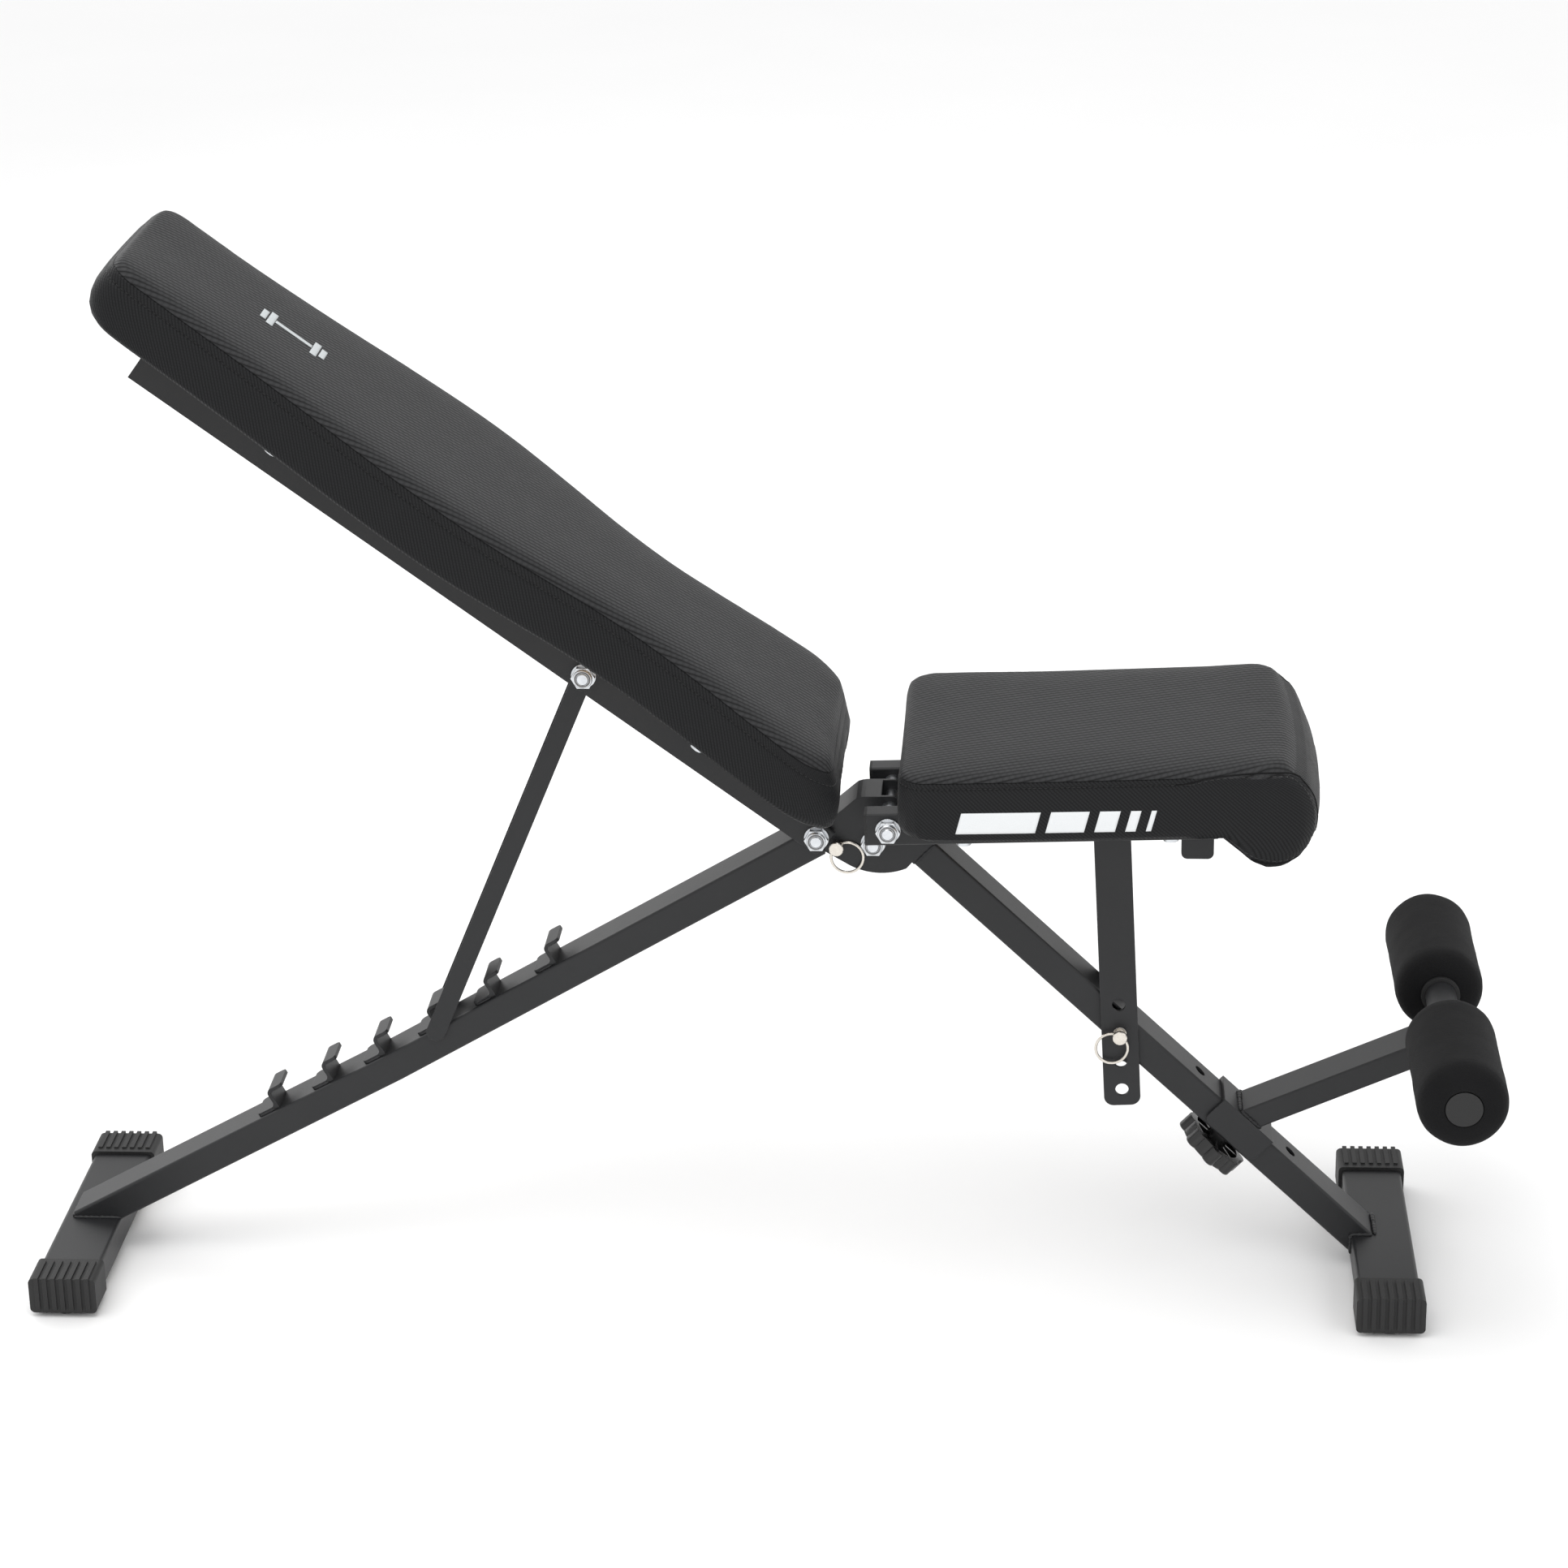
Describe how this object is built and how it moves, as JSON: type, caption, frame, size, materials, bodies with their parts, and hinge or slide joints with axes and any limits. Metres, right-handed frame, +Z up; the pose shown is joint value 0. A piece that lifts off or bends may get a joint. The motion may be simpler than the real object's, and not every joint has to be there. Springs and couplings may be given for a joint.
{
  "type": "adjustable weight bench",
  "caption": "Folding weight bench with an inclining padded backrest, a tilting padded seat and foam leg-hold rollers on a flat-tube steel frame.",
  "frame": {"origin": "middle of the bounding box, on the floor under the four foot glides", "axes": "+X from the rear foot under the backrest to the front foot under the rollers, +Y to the far side (bolt heads), +Z up"},
  "size_m": [1.2006, 0.36, 0.8788],
  "materials": {
    "frame_paint": "satin",
    "zinc_steel": "satin",
    "nickel_steel": "satin",
    "black_plastic": "matte",
    "pad_vinyl": "matte",
    "plywood": "matte",
    "roller_foam": "matte"
  },
  "bodies": {
    "front_frame": {"front_leg_tube": "frame_paint", "hinge_bracket": "frame_paint", "front_foot_tube": "frame_paint", "front_foot_caps": "black_plastic", "front_foot_glides": "black_plastic", "fold_bolt": "zinc_steel", "fold_nut": "zinc_steel", "seat_pivot_bolt": "zinc_steel", "seat_pivot_nut": "zinc_steel", "seat_pivot_spacers": "zinc_steel", "leg_hold_saddle": "frame_paint", "leg_hold_arm": "frame_paint", "roller_axle": "frame_paint", "roller_collars": "black_plastic", "roller_axle_caps": "black_plastic"},
    "rear_frame": {"rear_beam_tube": "frame_paint", "hinge_tongue": "frame_paint", "strut_hooks": "frame_paint", "rear_foot_tube": "frame_paint", "rear_foot_caps": "black_plastic", "rear_foot_glides": "black_plastic", "backrest_pivot_bolt": "zinc_steel", "backrest_pivot_nut": "zinc_steel", "backrest_pivot_spacers": "zinc_steel"},
    "backrest": {"backrest_frame": "frame_paint", "backrest_crossbars": "frame_paint", "backrest_board": "plywood", "backrest_pad": "pad_vinyl", "backrest_pad_screws": "zinc_steel", "strut_pivot_bolt": "zinc_steel", "strut_pivot_nut": "zinc_steel"},
    "strut": {"strut_channel": "frame_paint", "strut_cross_pin": "zinc_steel"},
    "seat": {"seat_rail_near": "frame_paint", "seat_rail_far": "frame_paint", "seat_rail_caps": "black_plastic", "seat_cross_tube": "frame_paint", "seat_front_tabs": "frame_paint", "seat_board": "plywood", "seat_pad": "pad_vinyl", "seat_pad_screws": "zinc_steel"},
    "seat_post": {"seat_post_plates": "frame_paint", "seat_post_sleeve": "frame_paint"},
    "fold_pin": {"fold_lock_pin": "nickel_steel"},
    "fold_ring": {"fold_pin_ring": "nickel_steel"},
    "seat_pin": {"seat_lock_pin": "nickel_steel"},
    "seat_ring": {"seat_pin_ring": "nickel_steel"},
    "knob": {"leg_hold_knob": "black_plastic", "leg_hold_stud": "zinc_steel"},
    "roller_near": {"foam_roller_near": "roller_foam"},
    "roller_far": {"foam_roller_far": "roller_foam"}
  },
  "joints": [
    {"name": "fold_hinge", "type": "hinge", "parent": "front_frame", "child": "rear_frame", "pos_m": [0.09695, 0, 0.3822], "axis": [0, -1, 0], "range_deg": [0, 90]},
    {"name": "backrest_incline", "type": "hinge", "parent": "rear_frame", "child": "backrest", "pos_m": [0.05135, 0, 0.3888], "axis": [0, 1, 0], "range_deg": [0, 25]},
    {"name": "strut_swing", "type": "hinge", "parent": "backrest", "child": "strut", "pos_m": [-0.13305, 0, 0.5271], "axis": [0, 1, 0], "range_deg": [-21.3, 0]},
    {"name": "seat_tilt", "type": "hinge", "parent": "front_frame", "child": "seat", "pos_m": [0.11075, 0, 0.41], "axis": [0, -1, 0], "range_deg": [-8, 16]},
    {"name": "post_swing", "type": "hinge", "parent": "seat", "child": "seat_post", "pos_m": [0.28895, 0, 0.41], "axis": [0, -1, 0], "range_deg": [-16.05, 8.05]},
    {"name": "fold_pin_pull", "type": "slide", "parent": "front_frame", "child": "fold_pin", "axis": [0, 1, 0], "range_m": [-0.045, 0]},
    {"name": "fold_ring_swing", "type": "hinge", "parent": "fold_pin", "child": "fold_ring", "pos_m": [0.06725, -0.0215, 0.3798], "axis": [-0.7593, 0, -0.6508], "range_deg": [0, 80]},
    {"name": "seat_pin_pull", "type": "slide", "parent": "seat_post", "child": "seat_pin", "axis": [0, 1, 0], "range_m": [-0.03, 0]},
    {"name": "seat_ring_swing", "type": "hinge", "parent": "seat_pin", "child": "seat_ring", "pos_m": [0.29795, -0.028, 0.2163], "axis": [-0.866, 0, 0.5], "range_deg": [0, 80]},
    {"name": "knob_spin", "type": "hinge", "parent": "front_frame", "child": "knob", "pos_m": [0.37066, 0, 0.1017], "axis": [0.6928, 0, 0.7212], "continuous": true},
    {"name": "roller_near_spin", "type": "hinge", "parent": "front_frame", "child": "roller_near", "pos_m": [0.56375, -0.11, 0.226], "axis": [0, 1, 0], "continuous": true},
    {"name": "roller_far_spin", "type": "hinge", "parent": "front_frame", "child": "roller_far", "pos_m": [0.56375, 0.11, 0.226], "axis": [0, 1, 0], "continuous": true}
  ],
  "couplings": [
    {"joint": "strut_swing", "follows": "backrest_incline", "ratio": -0.85},
    {"joint": "post_swing", "follows": "seat_tilt", "ratio": -1}
  ]
}
